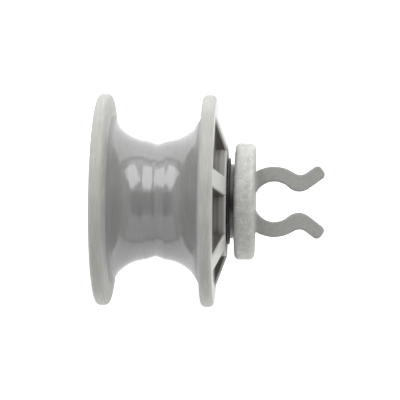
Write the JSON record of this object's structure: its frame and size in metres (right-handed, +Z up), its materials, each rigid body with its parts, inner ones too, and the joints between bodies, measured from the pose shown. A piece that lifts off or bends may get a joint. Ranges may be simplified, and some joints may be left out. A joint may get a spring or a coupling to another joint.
{
  "type": "clip-on reel fence insulator",
  "caption": "Moulded reel insulator that turns on a bolted axle, with a round foot plate and two spring arms that snap onto a round fence post.",
  "frame": {"origin": "centre of the post seat, halfway up the clip's arms", "axes": "+Z up along the post rod, +X out through the clip's mouth, the spool's axle along -X"},
  "size_m": [0.0533, 0.05, 0.05],
  "materials": {
    "spool_plastic": "glossy moulded, light grey",
    "clip_plastic": "fine cast texture, light grey, speckled",
    "cap_plastic": "moulded, grey",
    "black_washer": "matt black",
    "dark_collar": "satin, near black",
    "zinc_steel": "zinc plated",
    "insert_brass": "turned and knurled"
  },
  "bodies": {
    "foot": {"post_clip": "clip_plastic", "threaded_insert": "insert_brass", "axle_bolt": "zinc_steel", "spring_washer": "zinc_steel", "head_washer": "zinc_steel", "axle_sleeve": "zinc_steel", "slip_washer": "black_washer", "spacer_collar": "dark_collar"},
    "reel": {"spool": "spool_plastic", "bolt_cap": "cap_plastic"}
  },
  "joints": [
    {"name": "reel_spin", "type": "hinge", "parent": "foot", "child": "reel", "pos_m": [-0.02772, 0, 0], "axis": [1, 0, 0], "continuous": true}
  ]
}
